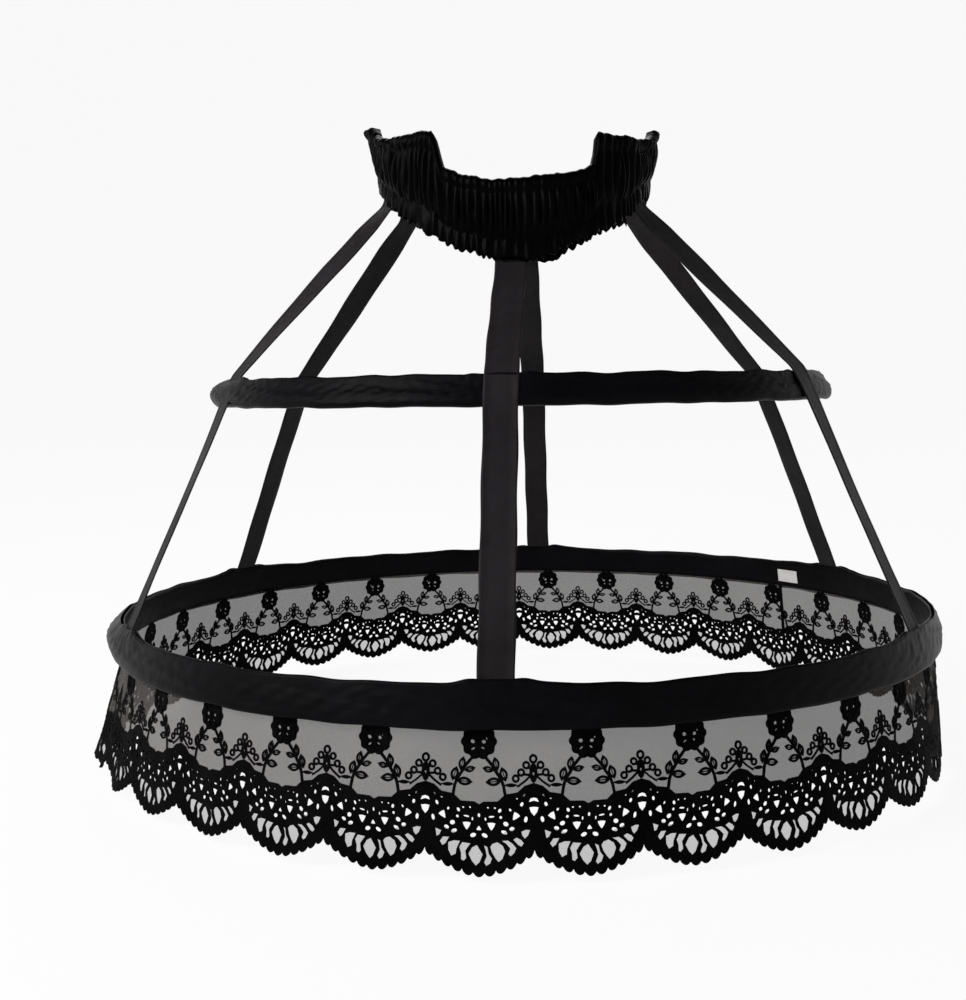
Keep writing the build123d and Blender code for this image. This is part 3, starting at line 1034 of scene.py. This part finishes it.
def lay_round(name, work, cuts=()):
    """Lay one repeat of work round the hem, once for each scallop."""
    mesh = bpy.data.meshes.new(name)
    mesh.from_pydata(work.points, [], work.faces)
    shape = bmesh.new()
    shape.from_mesh(mesh)
    bpy.data.meshes.remove(mesh)
    bmesh.ops.recalc_face_normals(shape, faces=shape.faces)
    for x in cuts:
        everything = [*shape.verts, *shape.edges, *shape.faces]
        bmesh.ops.bisect_plane(shape, geom=everything, plane_co=(x, 0, 0), plane_no=(1, 0, 0))
    if cuts:
        at_join = [
            f for f in shape.faces
            if all(abs(abs(v.co.x) - HALF_REPEAT_MM) < 1e-4 for v in f.verts)
        ]
        bmesh.ops.delete(shape, geom=at_join, context="FACES")
    shape.verts.index_update()
    points = np.array([v.co for v in shape.verts])
    faces = [[v.index for v in f.verts] for f in shape.faces]
    shape.free()
    turn_each = points[:, 0] / HALF_REPEAT_MM * LACE_PITCH / 2
    flat_map = np.array([points[i, :2] * MM for f in faces for i in f])
    all_points, all_faces, all_corners = [], [], []
    for index in range(LACE_REPEATS):
        bearing = LACE_FIRST + index * LACE_PITCH + turn_each
        all_points.append(on_lace(bearing, points[:, 1], points[:, 2] * MM))
        all_faces += [[i + index * len(points) for i in f] for f in faces]
        all_corners.append(flat_map + [index * 2 * HALF_REPEAT_MM * MM, 0])
    maps = {"cloth": np.concatenate(all_corners)}
    made = link_mesh(name, np.concatenate(all_points), all_faces, maps, lace_thread, False)
    if cuts:
        joined = bmesh.new()
        joined.from_mesh(made.data)
        bmesh.ops.remove_doubles(joined, verts=joined.verts, dist=1e-5)
        joined.to_mesh(made.data)
        joined.free()
    return made


# %% [markdown]
# ## The border
#
# The border is the heaviest work. Its top follows the sprigs, its middle is
# pierced by eyelets, and below it a fan of curved bars leads to a rim of round
# bumps. It is one shape with many holes, so the holes stay as sharp as they are
# in the real lace. The outline and the eyelets are written for one side and
# mirrored. The fan's openings are uneven in the real lace, so all are written.

# %% Border holes
BORDER_TOP = [
    (0, 36.2), (2.4, 34.9), (9.3, 34.7), (13.1, 31.3), (19.2, 30.3), (22.8, 27.2), (27.4, 25.8),
]
JOIN_NOTCHES = [
    (27.4, 32.6), (25.7, 33.1), (24.9, 35.0), (26.2, 34.6), (27.4, 34.3),
    (27.4, 37.0), (25.1, 37.3), (25.8, 39.7), (27.4, 41.6),
]
SIDE_HOLES = [
    oval(22.6, 31.6, 0.8, 1.6, 35), oval(21.4, 35.9, 1.6, 2.4, 20), oval(23.3, 43.1, 1.8, 3.2, 10),
    oval(15.6, 38.6, 1.2, 1.7, -30), oval(10.4, 39.0, 1.6, 2.3, 25), oval(10.9, 42.2, 1.5, 1.6),
    oval(13.4, 45.3, 2.8, 2.4, 30), oval(16.4, 47.6, 2.7, 2.2, -20), oval(12.6, 49.3, 3.4, 2.0, 25),
    oval(6.3, 42.0, 3.2, 1.1, -8), oval(3.3, 43.2, 0.9, 1.9), drop_hole(6.2, 46.6, 4.2, 3.8),
    drop_hole(18.2, 41.8, 3.6, 3.9, 35), oval(2.9, 51.0, 3.3, 2.2, 25), oval(8.0, 37.8, 1.1, 1.0),
    oval(4.5, 37.7, 1.0, 1.0), oval(19.0, 33.2, 1.0, 0.8, 15),
]
MIDDLE_HOLES = [oval(0, 41.4, 1.3, 2.1), drop_hole(0, 47.6, 2.6, 2.2, 180)]
FAN_HOLES = [
    [(-22.2, 48.1), (-19.0, 49.3), (-20.2, 51.7), (-21.5, 52.3)],
    [(-18.1, 52.3), (-15.0, 52.3), (-16.9, 55.6), (-18.5, 56.7), (-19.8, 54.7)],
    [(-15.5, 54.9), (-12.6, 53.9), (-9.5, 54.0), (-11.3, 57.8), (-11.6, 60.5), (-14.0, 61.6),
     (-15.5, 58.7)],
    [(-8.4, 54.6), (-4.2, 55.0), (-6.8, 58.7), (-6.3, 62.2), (-7.7, 63.7), (-9.0, 63.1),
     (-9.0, 60.0), (-9.9, 57.2)],
    [(-1.0, 55.6), (1.9, 60.0), (0.3, 64.0), (-1.6, 65.7), (-3.6, 63.5), (-5.3, 60.2),
     (-3.4, 56.9)],
    [(2.4, 55.6), (4.2, 56.3), (4.9, 59.6), (6.5, 61.8), (5.5, 64.4), (3.6, 65.5), (2.6, 64.0),
     (3.9, 60.9), (3.4, 58.3)],
    [(9.2, 53.9), (11.9, 55.6), (13.0, 58.3), (11.6, 62.0), (9.7, 63.5), (8.2, 61.8), (6.5, 59.1),
     (5.6, 56.3), (6.8, 54.7)],
    [(11.1, 53.2), (14.5, 53.0), (16.9, 54.7), (18.5, 56.7), (17.4, 59.1), (15.7, 60.6),
     (14.5, 59.6), (15.5, 56.9), (13.5, 54.7)],
    [(16.9, 52.6), (18.8, 51.6), (21.0, 52.8), (22.2, 54.4), (21.0, 56.1), (19.3, 55.2)],
    [(21.0, 48.8), (23.2, 47.9), (25.4, 48.1), (24.3, 50.8), (22.7, 52.3), (21.5, 50.8)],
]

# %% Border piece
border_side = [(x, float(scallop_edge(x))) for x in np.linspace(HALF_REPEAT_MM, 0, 56)]
border_right = BORDER_TOP + JOIN_NOTCHES + border_side
border_left = [(-x, y) for x, y in border_right[-2:0:-1]]
mirrored_holes = [[(-x, y) for x, y in hole][::-1] for hole in SIDE_HOLES]
border = Work()
all_holes = SIDE_HOLES + mirrored_holes + FAN_HOLES + MIDDLE_HOLES
border.cut(border_right + border_left, all_holes, thick=0.8)
lace_border = lay_round("lace_border", border, [HALF_REPEAT_MM * k / 4 for k in range(-3, 4)])

# %% [markdown]
# ## Flowers
#
# A flower is a ring of domed petals over a flat ground, with five small eyelets.
# It sits high, so that the casing's fold covers its upper petals.

# %% Flower piece
FLOWER_Y = 5.9
FLOWER_RADIUS = 8.7
FLOWER_LOBE = 1.2
PETALS = 8
EYELETS = [
    oval(-3.2, 5.9, 2.3, 2.0, 20), oval(2.5, 6.0, 2.1, 1.9),
    oval(-3.0, 9.4, 2.3, 1.0, -35), oval(1.9, 9.0, 2.0, 1.0, 30), oval(4.3, 4.2, 1.0, 2.0, 35),
]
flower = Work()
steps = np.arange(48) * TURN / 48
rim = FLOWER_RADIUS + FLOWER_LOBE * (np.abs(np.cos(5 * steps)) - 0.5)
flower.cut(zip(rim * np.cos(steps), FLOWER_Y + 0.95 * rim * np.sin(steps)), EYELETS, thick=0.8)
for petal_index in range(PETALS):
    petal_turn = 360 / PETALS * (petal_index + 0.5)
    x = 6.3 * math.cos(math.radians(petal_turn))
    y = FLOWER_Y + 6.0 * math.sin(math.radians(petal_turn))
    flower.cut(leaf(x, y, 4.4, 3.6, petal_turn + 90), (), thick=0.5, lift=0.5)
flower.strip([(-1.2, 4.6), (0.0, 7.2), (1.3, 9.6)], 0.9, thick=0.6, lift=0.4)
lace_flowers = lay_round("lace_flowers", flower)

# %% [markdown]
# ## Sprigs and loops
#
# Two stems leave the flower and run down to the border, with small leaves that are
# outlined in thread and open inside. Between the flowers stands a cluster of
# loops. Every stem is a strip along a few points, and every leaf a cut shape.

# %% Sprig and cluster pieces
LEAVES = [
    (4.6, 19.3, 5.8, 3.1, 14), (7.4, 25.2, 8.2, 4.2, -5), (8.6, 16.6, 6.8, 3.7, 76),
    (12.4, 21.6, 7.2, 4.2, 72), (16.0, 26.8, 6.6, 1.8, 0),
]
STEM = [
    (0.6, 12.4), (3.6, 13.8), (6.4, 17.0), (8.8, 20.6), (11.4, 24.5), (12.4, 27.4), (13.2, 31.8),
]
NARROW_LEAF = 2
sprig = Work()
for sign in (-1, 1):
    sprig.strip([(sign * x, y) for x, y in STEM], 1.5)
    for x, y, long, wide, turned in LEAVES:
        outline = leaf(sign * x, y, long, wide, sign * turned)
        inside = leaf(sign * x, y, 0.55 * long, 0.42 * wide, sign * turned)
        sprig.cut(outline, [inside] if wide > NARROW_LEAF else (), thick=0.6)
        (x0, y0), (x1, y1) = outline[0], outline[6]
        sprig.strip([(x0, y0), ((x0 + x1) / 2, (y0 + y1) / 2), (x1, y1)], 0.4, 0.75)
lace_sprigs = lay_round("lace_sprigs", sprig)

LOOPS = [(3.6, 17.2), (6.2, 20.7), (8.9, 23.6)]
BRANCHES = [
    ([(0.6, 21.5), (4.5, 25.0), (8.2, 27.6)], 1.0),
    ([(0.3, 19.0), (2.6, 18.4)], 1.2),
    ([(0.3, 22.0), (5.2, 21.6)], 1.1),
]
cluster = Work()
half = HALF_REPEAT_MM
cluster.cut(oval(half, 14.2, 4.4, 4.7, count=12), [oval(half, 14.2, 2.0, 2.4)])
for sign in (-1, 1):
    for x, y in LOOPS:
        x = half + sign * x
        cluster.cut(oval(x, y, 4.1, 4.1, count=12), [oval(x, y, 1.8, 1.9)])
    for route, width in BRANCHES:
        cluster.strip([(half + sign * x, y) for x, y in route], width)
cluster.cut(oval(half, 20.9, 4.2, 9.6, count=14), [oval(half, 21.4, 1.2, 1.6)], thick=0.75)
lace_clusters = lay_round("lace_clusters", cluster)

# %% [markdown]
# ## The seam
#
# The lace strip's two ends are lapped and sewn behind, at the bearing where the
# hoops' ends meet as well. It shows as one dark upright line, beside the small
# white ribbon that keeps its solid from the frame.

# %% Seam piece
SEAM_WIDE_MM = 2.6
SEAM_LOW_MM = 56.0
SEAM_BEHIND = -0.0009
seam_across = np.linspace(-SEAM_WIDE_MM / 2, SEAM_WIDE_MM / 2, 4)
seam_bearing = JOINT_BEARING + seam_across / HALF_REPEAT_MM * LACE_PITCH / 2
seam_rows = [
    on_lace(seam_bearing, np.full(4, down), SEAM_BEHIND)
    for down in np.linspace(SEAM_LOW_MM, -LACE_HIDDEN_MM, 26)
]
lace_seam = cloth_from_grid("lace_seam", np.array(seam_rows), 0.0008, False, lace_thread)

# %% [markdown]
# ## What stands for what
#
# Each cloth made here hides the plain solid that it stands for and rides on the
# frame's one body.

stands_for = [
    (waistband, "waistband", "gathered_satin", (0.70, 0.092), "gathered"),
    (elastic, "waist_elastic", "elastic", (0.60, 0.030), "gathered"),
    (mid_casing, "mid_casing", "satin", (1.27, 0.040), "hung"),
    (hem_casing, "hem_casing", "satin", (1.71, 0.047), "hung"),
]
TAPE_LENGTHS = {"front": 0.323, "back": 0.334}
SIDE_TAPE_LENGTH = 0.347
for place_name, piece in tapes.items():
    flat = (TAPE_WIDTH, TAPE_LENGTHS.get(place_name, SIDE_TAPE_LENGTH))
    stands_for.append((piece, f"tape_{place_name}", "woven_tape", flat, "hung"))
for piece, node_name, slot_name, flat, held in stands_for:
    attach(piece, "root")
    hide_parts(node_name)
lace_work = [lace_border, lace_flowers, lace_sprigs, lace_clusters, lace_seam]
for piece in [lace_net, *lace_work]:
    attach(piece, "root")
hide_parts("lace_trim")

# %% [markdown]
# ## Stage and light
#
# The picture is a cut-out on white, so the stage is a pale dish with a rim that
# curves up all round. Seen directly or in a gloss it mixes towards white, and
# the rest is left for the soft shadow. It is clear from behind, so a low camera
# still sees the object. One broad lamp from the upper left models the satin, a
# weak one fills the right, one lights from behind, and the world gives an even
# ground level.

# %% Stage
FLOOR_LEVEL = cad_low.z - 0.004
FLOOR_WHITENING = 0.92
DISH_FLAT = 1.6
DISH_RIM = 2.4
DISH_COLUMNS = 72

floor_material, floor_tree, floor_shader = new_material("pale_floor")
fill_all(floor_tree, floor_shader, {
    "Base Color": (0.86, 0.86, 0.86, 1), "Roughness": 0.9, "Specular IOR Level": 0.1,
})
white = place(floor_tree, "Emission", {"Color": (1, 1, 1, 1), "Strength": 1.0}).outputs[0]
rays = place(floor_tree, "LightPath").outputs
seen = calc(floor_tree, "MAXIMUM", rays["Is Camera Ray"], rays["Is Glossy Ray"])
seen = calc(floor_tree, "MAXIMUM", seen, rays["Is Transmission Ray"])
whitened = calc(floor_tree, "MULTIPLY", seen, FLOOR_WHITENING)
lit = place(floor_tree, "MixShader", {0: whitened, 1: floor_shader.outputs[0], 2: white})
clear = place(floor_tree, "BsdfTransparent").outputs[0]
behind = place(floor_tree, "NewGeometry").outputs["Backfacing"]
sides = place(floor_tree, "MixShader", {0: behind, 1: lit.outputs[0], 2: clear})
fill(floor_tree, floor_tree.nodes["Material Output"].inputs["Surface"], sides.outputs[0])

dish_profile = [(r, 0.0) for r in (0.001, 0.5, 1.0, DISH_FLAT)]
for angle in np.radians(range(10, 90, 10)):
    rise = DISH_RIM * (1 - math.cos(angle))
    dish_profile.append((DISH_FLAT + DISH_RIM * math.sin(angle), rise))
dish_bearing = np.arange(DISH_COLUMNS) * 360 / DISH_COLUMNS
dish_points = np.concatenate([around(dish_bearing, r, FLOOR_LEVEL + z) for r, z in dish_profile])
dish_faces = []
for begin in range(0, len(dish_points) - DISH_COLUMNS, DISH_COLUMNS):
    for c in range(DISH_COLUMNS):
        a, b = begin + c, begin + (c + 1) % DISH_COLUMNS
        dish_faces.append([a, a + DISH_COLUMNS, b + DISH_COLUMNS, b])
floor = link_mesh("floor", dish_points, dish_faces, {}, floor_material)
print("floor at", round(FLOOR_LEVEL, 4))

# %% World and lamps
WORLD_LEVEL = 0.22
HOOP_MIDDLE = Vector((0, 0, -0.16))
# Place, width in metres and watts
LAMPS = {
    "key_lamp": ((-1.4, -1.0, 0.85), 0.8, 36),
    "fill_lamp": ((1.5, -0.8, 0.5), 1.2, 1),
    "back_lamp": ((-0.3, 1.6, 1.0), 1.0, 10),
}
world = bpy.data.worlds.new("pale_world")
world.use_nodes = True
bpy.context.scene.world = world
world_tree = world.node_tree
rays = place(world_tree, "LightPath").outputs
seen = calc(world_tree, "MAXIMUM", rays["Is Camera Ray"], rays["Is Transmission Ray"])
strength = calc(world_tree, "MULTIPLY_ADD", seen, 1 - WORLD_LEVEL, WORLD_LEVEL)
background = world_tree.nodes["Background"]
fill_all(world_tree, background, {"Color": (1, 1, 1, 1), "Strength": strength})

for name, (place_at, wide, watts) in LAMPS.items():
    data = bpy.data.lights.new(name, "AREA")
    data.size = wide
    data.energy = watts
    lamp = bpy.data.objects.new(name, data)
    lamp.location = place_at
    lamp.rotation_euler = (HOOP_MIDDLE - Vector(place_at)).to_track_quat("-Z", "Y").to_euler()
    bpy.context.scene.collection.objects.link(lamp)
    print("lamp", name)
